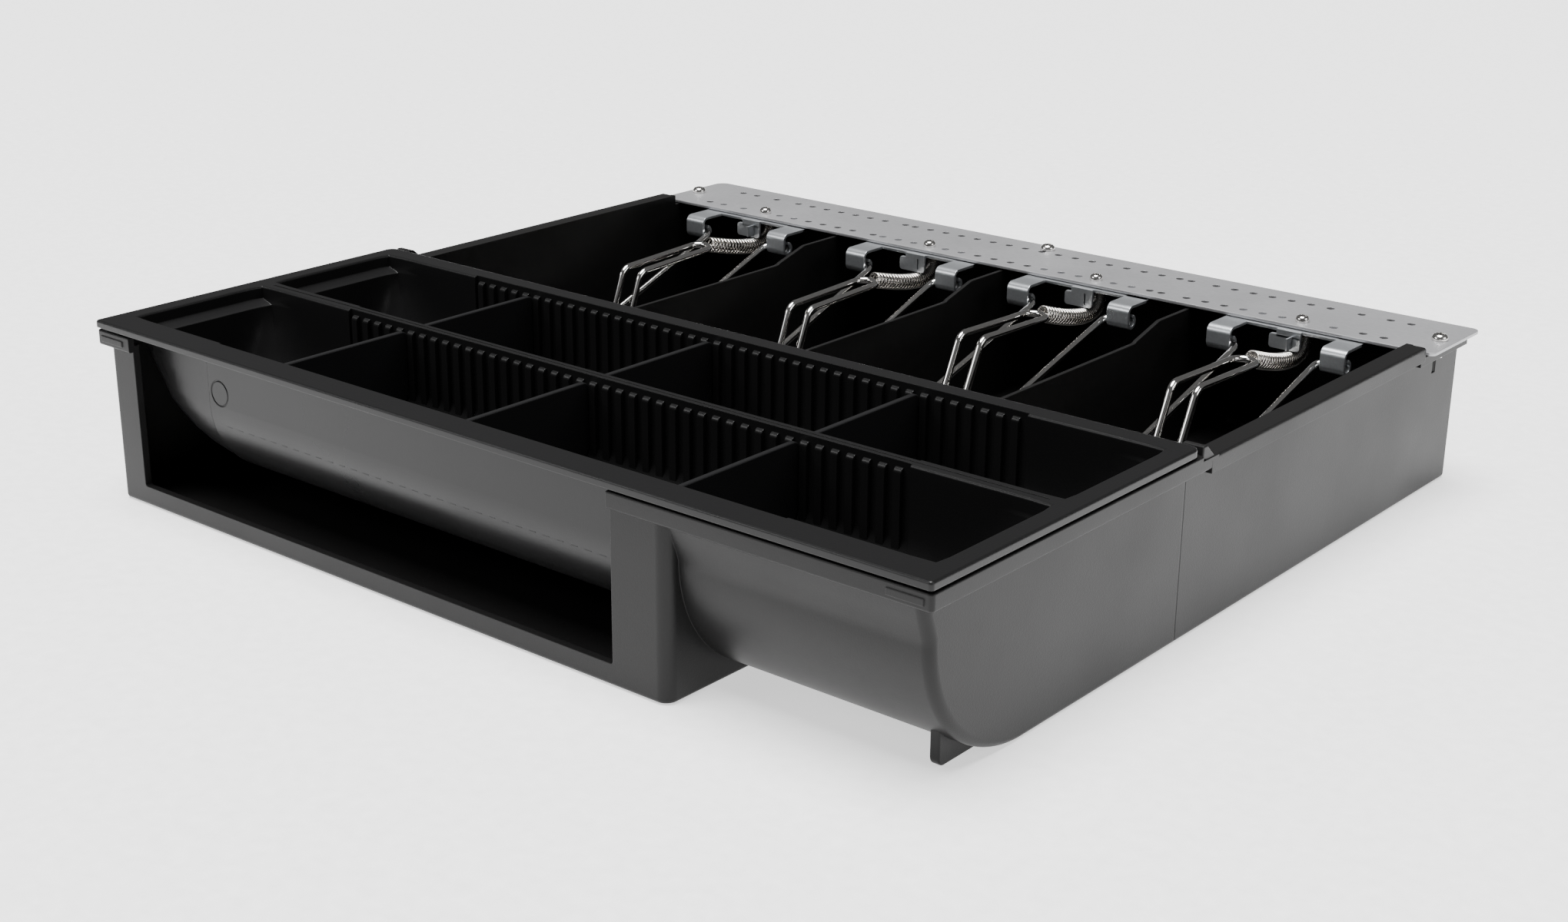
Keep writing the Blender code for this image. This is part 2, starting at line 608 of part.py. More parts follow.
finish(make_body(), black_plastic)
finish(make_coin_tray(), coin_plastic)
for row, centre in enumerate(WELL_CENTRES):
    for column, x in enumerate(DIVIDER_X):
        label = "coin_divider_%s_%d" % (("front", "back")[row], column + 1)
        divider = outline_solid(label, divider_outline(centre), x - DIVIDER_THICK / 2.0, x + DIVIDER_THICK / 2.0,
                                ALONG_X, parts)
        finish(divider, divider_plastic)
finish(make_bar(), bar_steel)
for number, x in enumerate(CLIP_X, 1):
    finish(make_bracket(number, x), bracket_steel)
    finish(make_clip(number, x), clip_chrome)
    finish(make_spring(number, x), spring_chrome)
    finish(make_screw("bracket_screw_%d" % number, x, CLIP_SCREW_Y, 0.0025, 0.0045), screw_chrome)
for number, (x, y) in enumerate(BAR_SCREWS, 1):
    finish(make_screw("bar_screw_%d" % number, x, y, 0.0029, 0.0065), screw_chrome)
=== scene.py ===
import math
import bmesh
import bpy
from mathutils import Matrix, Vector


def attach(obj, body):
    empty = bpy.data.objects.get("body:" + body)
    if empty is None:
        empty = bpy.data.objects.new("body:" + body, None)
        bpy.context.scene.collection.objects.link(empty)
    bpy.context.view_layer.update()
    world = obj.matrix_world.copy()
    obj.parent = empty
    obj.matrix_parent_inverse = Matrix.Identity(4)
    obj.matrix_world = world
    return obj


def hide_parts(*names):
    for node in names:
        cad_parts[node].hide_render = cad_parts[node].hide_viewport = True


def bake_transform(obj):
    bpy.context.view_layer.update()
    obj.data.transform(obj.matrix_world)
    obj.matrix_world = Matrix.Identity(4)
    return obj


# Till tray of a cash drawer. Lengths are in metres and measured from the front edge of the
# coin tray's flange; everything is moved back by HALF_DEPTH at the end to the row's own frame.
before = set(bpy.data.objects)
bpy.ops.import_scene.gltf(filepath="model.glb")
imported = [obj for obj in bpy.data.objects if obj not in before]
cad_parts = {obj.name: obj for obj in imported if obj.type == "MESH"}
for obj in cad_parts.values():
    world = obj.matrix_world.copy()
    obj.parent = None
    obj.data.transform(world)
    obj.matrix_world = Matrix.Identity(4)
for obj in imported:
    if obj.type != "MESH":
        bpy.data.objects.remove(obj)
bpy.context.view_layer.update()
scene = bpy.context.scene
HALF_DEPTH = 0.1625
FLANGE_HALF = 0.1750    # middle to the outer edge of the coin tray's flange and the body's collar
SHEET = 0.0012          # thickness of the steel bar and brackets
SCREW_HOLE = 0.0018     # radius of the ways for the screws
SIDES = (-1.0, 1.0)
CLIPS = (-0.1245, -0.0389, 0.0389, 0.1245)
BAR_SCREWS = ((-0.1713, 0.3034), (0.0, 0.3190), (0.1713, 0.3034))
scratch = []


# ---------------------------------------------------------------- shapes
def solid(bm):
    """Turn a finished bmesh into a scratch object with its faces pointing out."""
    bmesh.ops.recalc_face_normals(bm, faces=bm.faces)
    mesh = bpy.data.meshes.new("scratch")
    bm.to_mesh(mesh)
    bm.free()
    thing = bpy.data.objects.new("scratch", mesh)
    scene.collection.objects.link(thing)
    scratch.append(thing)
    return thing


def soften(bm, width, steps, which=None, angle=0.6):
    """Round the sharp edges, or only those for which which(middle, direction) is true."""
    edges = []
    for edge in bm.edges:
        a, b = edge.verts[0].co, edge.verts[1].co
        chosen = which is None or which((a + b) / 2.0, (b - a).normalized())
        if chosen and edge.calc_face_angle(0.0) > angle:
            edges.append(edge)
    bmesh.ops.bevel(bm, geom=edges, offset=width, segments=steps, affect="EDGES", profile=0.5,
                    clamp_overlap=True)


def box(low, high, width=0.0, steps=3, which=None):
    bm = bmesh.new()
    centre = [(a + b) / 2.0 for a, b in zip(low, high)]
    size = [b - a for a, b in zip(low, high)]
    bmesh.ops.create_cube(bm, size=1.0, matrix=Matrix.Translation(centre) @ Matrix.Diagonal((*size, 1.0)))
    if width:
        soften(bm, width, steps, which)
    return solid(bm)


def prism(outline, low, high, axis="x", width=0.0, steps=2, which=None):
    """Extrude an outline given as (y, z) along x, (x, y) along z or (x, z) along y."""
    put = {"x": lambda u, v, w: (w, u, v),
           "y": lambda u, v, w: (u, w, v),
           "z": lambda u, v, w: (u, v, w)}[axis]
    bm = bmesh.new()
    ends = [[bm.verts.new(put(u, v, w)) for u, v in outline] for w in (low, high)]
    for index in range(len(outline)):
        after = (index + 1) % len(outline)
        bm.faces.new((ends[0][index], ends[0][after], ends[1][after], ends[1][index]))
    bm.faces.new(ends[0])
    bm.faces.new(ends[1])
    if width:
        bmesh.ops.recalc_face_normals(bm, faces=bm.faces)
        soften(bm, width, steps, which)
    return solid(bm)


def rods(places, radius, low, high, sides=20):
    """Upright cylinders of one radius at each (x, y) place."""
    bm = bmesh.new()
    for x, y in places:
        bmesh.ops.create_cone(bm, cap_ends=True, segments=sides, radius1=radius, radius2=radius,
                              depth=high - low, matrix=Matrix.Translation((x, y, (low + high) / 2.0)))
    return solid(bm)


def arc(centre, radius, start, end, steps):
    found = []
    for step in range(steps + 1):
        angle = math.radians(start + (end - start) * step / steps)
        found.append((centre[0] + radius * math.cos(angle), centre[1] + radius * math.sin(angle)))
    return found


def rounded_rectangle(low, high, radii, steps=8):
    """Corner radii in the order high-high, low-high, low-low, high-low."""
    spots = ((1, 1, 0.0), (0, 1, 90.0), (0, 0, 180.0), (1, 0, 270.0))
    found = []
    for (right, up, start), radius in zip(spots, radii):
        u = high[0] - radius if right else low[0] + radius
        v = high[1] - radius if up else low[1] + radius
        found += arc((u, v), radius, start, start + 90.0, steps)
    return found


def span(side, near, far):
    """Range in x between two distances from the middle, on the side given as -1 or 1."""
    return sorted((side * near, side * far))


def ribbon(path, thickness):
    """Outline of a sheet of that thickness whose middle follows the path."""
    sides = ([], [])
    for index, point in enumerate(path):
        run = Vector(path[min(index + 1, len(path) - 1)]) - Vector(path[max(index - 1, 0)])
        across = Vector((-run.y, run.x)).normalized() * (thickness / 2.0)
        sides[0].append(tuple(Vector(point) + across))
        sides[1].append(tuple(Vector(point) - across))
    return sides[0] + sides[1][::-1]


def wire(points, radius, resolution):
    """Round wire along the points, with filled ends."""
    curve = bpy.data.curves.new("wire", "CURVE")
    curve.dimensions = "3D"
    curve.bevel_depth = radius
    curve.bevel_resolution = resolution
    curve.use_fill_caps = True
    spline = curve.splines.new("POLY")
    spline.points.add(len(points) - 1)
    for point, place in zip(spline.points, points):
        point.co = (*place, 1.0)
    thing = bpy.data.objects.new("wire", curve)
    scene.collection.objects.link(thing)
    scratch.append(thing)
    return thing


def rounded_path(corners, radii, steps):
    """Points along straight runs whose inner corners are rounded by the given radii."""
    corners = [Vector(corner) for corner in corners]
    found = [corners[0]]
    for index in range(1, len(corners) - 1):
        here = corners[index]
        back = (corners[index - 1] - here).normalized()
        ahead = (corners[index + 1] - here).normalized()
        half = back.angle(ahead) / 2.0
        radius = radii[index - 1]
        reach = radius / math.tan(half)
        middle = here + (back + ahead).normalized() * (radius / math.sin(half))
        start = (here + back * reach - middle).normalized()
        end = (here + ahead * reach - middle).normalized()
        for step in range(steps + 1):
            found.append(middle + start.slerp(end, step / steps) * radius)
    found.append(corners[-1])
    return found


def solve(base, *steps):
    """Apply unions (given as a "+" and things) and cuts ("-" and things) in order."""
    operation = "UNION"
    for step in steps:
        if step in ("+", "-"):
            operation = "UNION" if step == "+" else "DIFFERENCE"
            continue
        modifier = base.modifiers.new("boolean", "BOOLEAN")
        modifier.operation = operation
        modifier.solver = "EXACT"
        modifier.object = step
    return base


def piece(name, thing, look, body, stands_for=(), sharp=35.0, turn=None):
    """Keep the finished mesh as one shown piece that moves with its CAD body."""
    bpy.context.view_layer.update()
    seen = thing.evaluated_get(bpy.context.evaluated_depsgraph_get())
    mesh = bpy.data.meshes.new_from_object(seen)
    mesh.name = name
    for old in scratch:
        bpy.data.objects.remove(old, do_unlink=True)
    scratch.clear()
    bm = bmesh.new()
    bm.from_mesh(mesh)
    bmesh.ops.remove_doubles(bm, verts=bm.verts, dist=0.000002)
    bmesh.ops.dissolve_degenerate(bm, edges=bm.edges, dist=0.000002)
    bm.to_mesh(mesh)
    bm.free()
    if turn is not None:
        mesh.transform(turn)
    mesh.transform(Matrix.Translation((0.0, -HALF_DEPTH, 0.0)))
    mesh.shade_smooth()
    mesh.set_sharp_from_angle(angle=math.radians(sharp))
    mesh.materials.clear()
    mesh.materials.append(look)
    made = bpy.data.objects.new(name, mesh)
    scene.collection.objects.link(made)
    even = made.modifiers.new("even_shading", "WEIGHTED_NORMAL")
    even.keep_sharp = True
    if body:
        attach(made, body)
    if stands_for:
        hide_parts(*stands_for)
    return made


# ---------------------------------------------------------------- finishes
def finish(name, colour, rough, metallic=0.0, grain=0.2, size=2500.0, edge=0.0004, drift=0.04,
           stretch=(1, 1, 1), shine=0.5):
    """Principled surface with fine grain, slow drift in tone and roughness, and worn-soft edges."""
    made = bpy.data.materials.new(name)
    made.use_nodes = True
    tree = made.node_tree
    shader = tree.nodes["Principled BSDF"]
    shader.inputs["Metallic"].default_value = metallic
    shader.inputs["Specular IOR Level"].default_value = shine
    place = tree.nodes.new("ShaderNodeTexCoord")
    scale = tree.nodes.new("ShaderNodeMapping")
    scale.inputs["Scale"].default_value = stretch
    tree.links.new(place.outputs["Object"], scale.inputs["Vector"])
    fine = tree.nodes.new("ShaderNodeTexNoise")
    fine.inputs["Scale"].default_value = size
    fine.inputs["Detail"].default_value = 2.0
    tree.links.new(scale.outputs["Vector"], fine.inputs["Vector"])
    slow = tree.nodes.new("ShaderNodeTexNoise")
    slow.inputs["Scale"].default_value = 22.0
    slow.inputs["Detail"].default_value = 4.0
    tree.links.new(place.outputs["Object"], slow.inputs["Vector"])
    level = tree.nodes.new("ShaderNodeMapRange")
    level.inputs["From Min"].default_value = 0.3
    level.inputs["From Max"].default_value = 0.7
    level.inputs["To Min"].default_value = rough - drift
    level.inputs["To Max"].default_value = rough + drift
    tree.links.new(slow.outputs["Fac"], level.inputs["Value"])
    tree.links.new(level.outputs["Result"], shader.inputs["Roughness"])
    tone = tree.nodes.new("ShaderNodeMix")
    tone.data_type = "RGBA"
    tone.inputs["A"].default_value = (*[c * 0.86 for c in colour], 1.0)
    tone.inputs["B"].default_value = (*[min(1.0, c * 1.14) for c in colour], 1.0)
    tree.links.new(fine.outputs["Fac"], tone.inputs["Factor"])
    tree.links.new(tone.outputs["Result"], shader.inputs["Base Color"])
    bump = tree.nodes.new("ShaderNodeBump")
    bump.inputs["Strength"].default_value = grain
    bump.inputs["Distance"].default_value = 0.00012
    tree.links.new(fine.outputs["Fac"], bump.inputs["Height"])
    if edge:
        soft = tree.nodes.new("ShaderNodeBevel")
        soft.samples = 6
        soft.inputs["Radius"].default_value = edge
        tree.links.new(soft.outputs["Normal"], bump.inputs["Normal"])
    tree.links.new(bump.outputs["Normal"], shader.inputs["Normal"])
    return made


body_look = finish("tray_plastic", (0.0092, 0.0090, 0.0090), 0.40, grain=0.3, shine=0.20)
coin_look = finish("coin_tray_plastic", (0.0085, 0.0084, 0.0086), 0.30, grain=0.2, shine=0.24)
divider_look = finish("divider_plastic", (0.010, 0.010, 0.0105), 0.26, grain=0.1, shine=0.4)
bar_look = finish("bar_steel", (0.42, 0.42, 0.43), 0.46, 0.65, grain=0.25, size=1600.0, edge=0.0002,
                  stretch=(0.25, 1, 1))
bracket_look = finish("bracket_steel", (0.50, 0.52, 0.54), 0.30, 0.8, grain=0.15, size=900.0, edge=0.0002)
clip_look = finish("clip_chrome", (0.80, 0.785, 0.765), 0.08, 1.0, grain=0.05, size=1200.0, edge=0.0,
                   drift=0.03)
spring_look = finish("spring_chrome", (0.72, 0.695, 0.66), 0.16, 1.0, grain=0.05, size=1500.0, edge=0.0)
screw_look = finish("screw_chrome", (0.78, 0.765, 0.745), 0.14, 1.0, grain=0.05, size=1500.0, edge=0.0001)

# ---------------------------------------------------------------- moulded body
TOP = 0.0586
ABOVE = 0.0700          # where cutters end; their tops differ a little so that no faces coincide
WALL_HALF = 0.1702
INNER_HALF = 0.1678
CROSS_WALL = (0.1275, 0.1300)
POST_LEFT, POST_RIGHT = 0.0640, 0.0850
SHELL_CENTRE = (0.0500, 0.0430)
SHELL_RADIUS, SHELL_INSIDE = 0.0430, 0.0414
END_RADIUS = 0.0032
BAY_FLOOR = 0.0024
PARTITIONS = (-0.082, 0.0, 0.082)
PARTITION_HALF = 0.00075
PARTITION_LOW, PARTITION_HIGH = 0.0493, 0.0542


def upright(middle, run):
    return abs(run.z) > 0.9


def low_part(middle, run):
    return middle.z < 0.050


def round_ended(outline, half, radii, steps=6):
    """Side outline run across the body, its two end edges rounded by a radius that varies along them."""
    outward = []
    for index, point in enumerate(outline):
        runs = []
        if index > 0:
            runs.append(Vector(point) - Vector(outline[index - 1]))
        if index < len(outline) - 1:
            runs.append(Vector(outline[index + 1]) - Vector(point))
        run = sum((r.normalized() for r in runs), Vector((0.0, 0.0))).normalized()
        outward.append(Vector((run.y, -run.x)))
    outward[0], outward[-1] = Vector((-1.0, 0.0)), Vector((1.0, 0.0))
    bm = bmesh.new()
    rows = []
    for side, step in [(-1.0, k) for k in range(steps, -1, -1)] + [(1.0, k) for k in range(steps + 1)]:
        angle = math.pi * step / (2.0 * steps)
        row = []
        for point, normal, radius in zip(outline, outward, radii):
            u, v = Vector(point) - normal * radius * (1.0 - math.cos(angle))
            row.append(bm.verts.new((side * (half - radius * (1.0 - math.sin(angle))), u, v)))
        rows.append(row)
    for here, there in zip(rows, rows[1:]):
        for index in range(len(outline)):
            after = (index + 1) % len(outline)
            bm.faces.new((here[index], here[after], there[after], there[index]))
    bm.faces.new(rows[0])
    bm.faces.new(rows[-1])
    return solid(bm)


def front_space(floor, high):
    """Outline of the room behind the shell, down to a floor."""
    found = [(CROSS_WALL[0], floor), (CROSS_WALL[0], high), (0.0058, high), (0.0060, 0.0540),
             (0.0082, 0.0480)]
    for y, z in arc(SHELL_CENTRE, SHELL_INSIDE, 180.0, 270.0, 24):
        if z > floor + 0.0004:
            found.append((y, z))
    if floor > 0.0030:
        drop = SHELL_CENTRE[1] - floor
        found.append((SHELL_CENTRE[0] - math.sqrt(SHELL_INSIDE * SHELL_INSIDE - drop ** 2), floor))
    return found


def outside():
    """Shell, slot frame, foot, collar and rims, cut down to the height of the rear part."""
    profile = [(0.0030, TOP), (0.0032, 0.0556), (0.0038, 0.0530), (0.0050, 0.0490)]
    profile += arc(SHELL_CENTRE, SHELL_RADIUS, 180.0, 270.0, 28)
    profile += arc((0.3221, 0.0014), 0.0014, 270.0, 360.0, 6) + [(0.3235, TOP)]
    radii = [END_RADIUS * min(1.0, max(0.42, 1.0 - (y - 0.024) / 0.045)) for y, z in profile]
    base = round_ended(profile, WALL_HALF, radii)
    slot_frame = rounded_rectangle((-0.17005, 0.0020), (POST_RIGHT, 0.0600), (0.0020, 0.0020, 0.0020, 0.0042))
    foot = [(0.0218, 0.018)] + arc((0.0244, 0.0026), 0.0026, 180.0, 270.0, 8) + [(0.052, 0.0), (0.054, 0.018)]
    collar = rounded_rectangle((-FLANGE_HALF, 0.0004), (FLANGE_HALF, 0.1430), (0.0010, 0.0010, 0.0014, 0.0014))
    steps = ["+", prism(slot_frame, 0.0001, 0.0556, "z", 0.0012, 4, low_part),
             prism(foot, 0.1604, 0.1636, "x", 0.0005, 3), prism(collar, 0.0548, 0.0600, "z", 0.0006, 3)]
    for side in SIDES:
        low, high = span(side, 0.166, 0.17502)
        steps.append(box((low, 0.1386, 0.0533), (high, 0.2840, TOP + 0.0001), 0.0014, 4,
                         lambda m, r, s=side: m.z > TOP - 0.0001 and m.x * s > 0.170))
        low, high = span(side, 0.166, 0.1745)
        steps.append(box((low, 0.2820, 0.0515), (high, 0.3200, 0.0560), 0.0010, 2, low_part))
    return base, steps + ["-", box((-0.190, 0.1332, 0.0585), (0.190, 0.340, ABOVE)),
                          box((-0.190, 0.2840, 0.0546), (0.190, 0.340, ABOVE - 0.001))]


def stops_and_lugs():
    """Wedges behind the coin tray's flange and the small latch lugs on the front."""
    stop = [(0.1332, 0.0590), (0.1334, 0.0629), (0.1358, 0.0627), (0.1406, 0.0584), (0.1406, 0.0575),
            (0.1380, 0.0575)]
    steps = ["+"]
    for side in SIDES:
        low, high = span(side, 0.1664, 0.1747)
        steps.append(prism(stop, low, high, "x", 0.0005, 3))
        low, high = span(side, 0.1607, 0.1725)
        steps.append(box((low, 0.0, 0.0562), (high, 0.0020, 0.0583), 0.0002, 2))
    return steps


def hollows():
    """Large-note space, post, shell and note bays, the slot and the line on each side wall."""
    back = CROSS_WALL[0]
    steps = ["-", box((-INNER_HALF, 0.0046, BAY_FLOOR), (POST_LEFT, back, ABOVE + 0.001), 0.0016, 3),
             box((0.0664, 0.0046, BAY_FLOOR), (0.0826, back, ABOVE + 0.002), 0.0012, 2),
             prism(front_space(0.0026, ABOVE + 0.003), POST_RIGHT, INNER_HALF + 0.0002, "x", 0.0012, 2),
             prism(front_space(0.0118, ABOVE + 0.004), 0.0610, 0.0880, "x"),
             box((-0.1724, 0.0028, 0.0570), (0.1724, 0.1273, ABOVE + 0.005), 0.0020, 4, upright),
             box((-0.1573, -0.0040, 0.0070), (POST_LEFT, 0.0080, ABOVE + 0.006), 0.0008, 2,
                 lambda m, r: abs(r.y) > 0.9)]
    walls = (-INNER_HALF, *PARTITIONS, INNER_HALF)
    for index, (left, right) in enumerate(zip(walls, walls[1:])):
        left += PARTITION_HALF if index > 0 else 0.0
        right -= PARTITION_HALF if index < len(PARTITIONS) else 0.0
        steps.append(box((left, CROSS_WALL[1], BAY_FLOOR), (right, 0.3211, ABOVE), 0.0022, 4))
    for side in SIDES:
        low, high = span(side, 0.17014, 0.1730)
        steps.append(box((low, 0.1316, -0.0010), (high, 0.1324, 0.0540)))
    return steps


def make_body():
    base, steps = outside()
    steps += stops_and_lugs() + hollows() + ["+", rods([BAR_SCREWS[1]], 0.0045, 0.0300, 0.0550, 24), "-"]
    front = CROSS_WALL[1] + 0.0004
    over = [(front, PARTITION_LOW), (0.2485, PARTITION_LOW), (0.2496, 0.0495), (0.2505, 0.0500),
            (0.2640, 0.0537), (0.2650, 0.0540), (0.2662, PARTITION_HIGH), (0.3280, PARTITION_HIGH),
            (0.3280, ABOVE + 0.002), (front, ABOVE + 0.002)]
    for x in PARTITIONS:
        steps.append(prism(over, x - 0.0052, x + 0.0052, "x"))
    steps.append(rods(BAR_SCREWS, SCREW_HOLE, 0.0440, 0.0620, 16))
    piece("till_tray_body", solve(base, *steps), body_look, "tray", ("tray_body",))


# ---------------------------------------------------------------- coin tray
WELLS = (0.0380, 0.0970)    # y of the middle of the front and the back row
AXIS = 0.0420               # height of the half-pipes' axis
HALF = 0.0265               # inner radius of the half-pipes
CUP_WALL = 0.0018
PIPE_WALL = 0.0026
END_ZONE = 0.1270           # where the straight part ends and the cups' rounded ends begin
RIBBED_HALF = 0.1205
RIBS, RIB_PITCH, FIRST_RIB = 42, 0.0057, -0.11765
DIVIDERS = (-0.0920, -0.0065, 0.0790)


def power_at(z):
    """How square a cup's end is at a height, as the exponent of a superellipse."""
    marks = ((0.0155, 2.0), (0.0195, 2.05), (0.0255, 2.3), (0.0330, 2.8), (0.0420, 4.0), (0.0500, 8.0),
             (0.0570, 24.0), (0.0640, 50.0))
    for (z0, p0), (z1, p1) in zip(marks, marks[1:]):
        if z <= z1:
            return p0 + (p1 - p0) * max(0.0, z - z0) / (z1 - z0)
    return marks[-1][1]


def trough(centre, reach, rings, turns=14):
    """Loft of (height, growth, half length) rings, square-ended above and round-ended below."""
    bm = bmesh.new()
    made = []
    for z, grow, length in rings:
        drop = max(0.0, AXIS - z)
        wide = math.sqrt(max(reach * reach - drop * drop, 0.0)) + grow
        bulge = (length + grow - END_ZONE) * min(1.0, (wide - grow) / reach)
        power = power_at(z)
        ring = []
        for side in (1.0, -1.0):
            for step in range(2 * turns + 1):
                angle = math.pi * (0.5 - step / (2.0 * turns))
                sine, cosine = math.sin(angle), abs(math.cos(angle))
                if step in (0, 2 * turns):
                    cosine = 0.0
                out = (abs(sine) ** power + cosine ** power) ** (-1.0 / power)
                ring.append(bm.verts.new((side * (END_ZONE + bulge * cosine * out),
                                          centre + side * wide * sine * out, z)))
        made.append(ring)
    count = len(made[0])
    for lower, upper in zip(made, made[1:]):
        for index in range(count):
            after = (index + 1) % count
            bm.faces.new((lower[index], lower[after], upper[after], upper[index]))
    bm.faces.new(made[0])
    bm.faces.new(made[-1])
    return solid(bm)


def ring_groove(centre, reach, radius, count=48, sides=8):
    """Ring with its axis along y, to cut a round moulding mark into a wall."""
    bm = bmesh.new()
    rows = []
    for a in range(count):
        out = Vector((math.cos(2.0 * math.pi * a / count), 0.0, math.sin(2.0 * math.pi * a / count)))
        row = []
        for b in range(sides):
            turn = 2.0 * math.pi * b / sides
            row.append(bm.verts.new(Vector(centre) + out * (reach + radius * math.cos(turn))
                                    + Vector((0.0, radius * math.sin(turn), 0.0))))
        rows.append(row)
    for a in range(count):
        here, there = rows[a], rows[(a + 1) % count]
        for b in range(sides):
            after = (b + 1) % sides
            bm.faces.new((here[b], here[after], there[after], there[b]))
    return solid(bm)


def heights(radius, angles):
    """Heights on a half-pipe's round side at angles below its axis, in degrees."""
    return [AXIS - radius * math.sin(math.radians(angle)) for angle in angles]


def make_coin_tray():
    flange = rounded_rectangle((-FLANGE_HALF, 0.0), (FLANGE_HALF, 0.1317), (0.0035, 0.0035, 0.0012, 0.0012))
    base = prism(flange, 0.0609, 0.0634, "z", 0.0009, 4, lambda m, r: m.z > 0.0633)
    steps = ["+"]
    ends = ((0.0590, 0.1680), (0.0585, 0.1668), (0.0578, 0.1642), (0.0573, 0.1632))
    for centre in WELLS:
        rings = [(0.0615, 0.0, 0.1698)] + [(z, 0.0, length + CUP_WALL) for z, length in ends]
        outer = heights(HALF + CUP_WALL, (0, 10, 20, 30, 40, 50, 60, 70, 79, 86))
        rings += [(z, 0.0, 0.1650) for z in [0.0500] + outer]
        steps.append(trough(centre, HALF + CUP_WALL, rings))
        pipe = [(centre + HALF + PIPE_WALL, 0.0619), (centre - HALF - PIPE_WALL, 0.0619)]
        pipe += arc((centre, AXIS), HALF + PIPE_WALL, 180.0, 360.0, 32)
        steps.append(prism(pipe, -END_ZONE, END_ZONE, "x", 0.0010, 2,
                           lambda m, r: abs(m.x) > END_ZONE - 0.0001 and m.z < 0.058))
    steps.append("-")
    for centre in WELLS:
        rings = [(0.0680, 0.0009, 0.1680)]
        for angle in (0.0, 22.5, 45.0, 67.5, 90.0):
            a = math.radians(angle)
            rings.append((0.0625 + 0.0009 * math.cos(a), 0.0009 * (1.0 - math.sin(a)), 0.1680))
        rings += [(z, 0.0, length) for z, length in ends]
        inner = heights(HALF, (0, 10, 20, 29, 37, 45, 52, 59, 66, 73, 80, 86))
        rings += [(z, 0.0, 0.1632) for z in [0.0530, 0.0475] + inner]
        steps.append(trough(centre, HALF, rings))
        wide = HALF + 0.0013
        slot = [(centre + wide, 0.0690), (centre - wide, 0.0690), (centre - wide, 0.0400),
                (centre - 0.0222, 0.0286), (centre + 0.0222, 0.0286), (centre + wide, 0.0400)]
        steps.append(prism(slot, -RIBBED_HALF, RIBBED_HALF, "x"))
    steps.append(box((-0.1650, 0.0672, 0.0625), (0.1650, 0.0678, 0.0660)))
    steps.append(ring_groove((-0.1205, 0.0089, 0.0465), 0.0043, 0.00030))
    piece("coin_tray_body", solve(base, *steps), coin_look, "coin_tray", ("coin_tray",))
    make_ribs()


def make_ribs():
    bm = bmesh.new()
    for number in range(RIBS):
        x = FIRST_RIB + number * RIB_PITCH
        for centre in WELLS:
            for side in SIDES:
                face, back = centre + side * (HALF - 0.0002), centre + side * (HALF + 0.0018)
                lean = side * 0.0006
                outline = [(face, 0.0350), (face, 0.0600), (face + lean, 0.0611), (face + 2.0 * lean, 0.0614),
                           (back, 0.0614), (back, 0.0350)]
                rows = [[bm.verts.new((x + w, y, z)) for y, z in outline] for w in (-0.00135, 0.00135)]
                for index in range(len(outline)):
                    after = (index + 1) % len(outline)
                    bm.faces.new((rows[0][index], rows[0][after], rows[1][after], rows[1][index]))
                bm.faces.new(rows[0])
                bm.faces.new(rows[1])
    piece("coin_tray_ribs", solid(bm), coin_look, "coin_tray", sharp=50.0)


def make_dividers():
    for row, centre in zip(("front", "back"), WELLS):
        wide = HALF + 0.0008
        outline = arc((centre + wide - 0.0025, 0.0588), 0.0025, 0.0, 90.0, 6)
        outline += arc((centre - wide + 0.0025, 0.0588), 0.0025, 90.0, 180.0, 6)
        start = 180.0 + math.degrees(math.asin(0.0105 / 0.0255))
        outline += [(centre - wide, 0.0410)] + arc((centre, AXIS), 0.0255, start, 540.0 - start, 24)
        outline.append((centre + wide, 0.0410))
        for column, x in enumerate(DIVIDERS, 1):
            name = "coin_divider_%s_%d" % (row, column)
            plate = prism(outline, x - 0.0010, x + 0.0010, "x", 0.0004, 3)
            piece(name + "_plate", plate, divider_look, name, (name,))


# ---------------------------------------------------------------- bar, brackets, clips
LOWER = (4.0, 3.4, 0.0, 0.0)    # degrees by which each clip lies lower than the last two
SCREW_Y = 0.2928                # the brackets' screws, in line with the bar's front row of holes
BACK_ROW_Y = 0.3149
HOLE_PITCH, HOLE_RADIUS = 0.00778, 0.00150
PIVOT = Vector((0.2755, 0.0482))
CURL = 0.00225                  # radius of the ears' curl, at the middle of the sheet
BRACKET_HALF, EAR_INSIDE = 0.0267, 0.0174
CLIP_WIRE = 0.0013
LEG_X, FOOT_X, PIVOT_END_X = 0.0046, 0.0155, 0.0256
HAIRPIN = (0.2500, 0.0508)
CLIP_REACH, CLIP_SLOPE = 0.0815, 16.3
COIL_PITCH, COIL_RADIUS, COIL_WIRE = 0.00142, 0.00282, 0.00042
POINTS_PER_TURN = 16
LINE_STEPS = 120


def make_bar():
    outline = rounded_rectangle((-0.1770, 0.2863), (0.1770, 0.3250), (0.0030, 0.0045, 0.0022, 0.0022))
    bar = prism(outline, 0.0549, 0.0561, "z", 0.0002, 2)
    xs = [0.0]
    for number in range(1, 21):
        if number not in (9, 17, 18):
            xs += [number * HOLE_PITCH, -number * HOLE_PITCH]
    xs += [0.0672, -0.0672, 0.1366, -0.1366]
    holes = [(x, BACK_ROW_Y) for x in xs]
    holes += [(x, SCREW_Y) for x in xs if min(abs(x - clip) for clip in CLIPS) >= 0.004]
    ways = [(x, SCREW_Y) for x in CLIPS] + list(BAR_SCREWS)
    cuts = (rods(holes, HOLE_RADIUS, 0.0500, 0.0600), rods(ways, SCREW_HOLE, 0.0501, 0.0601))
    piece("hinge_bar_sheet", solve(bar, "-", *cuts), bar_look, "tray", ("hinge_bar",))


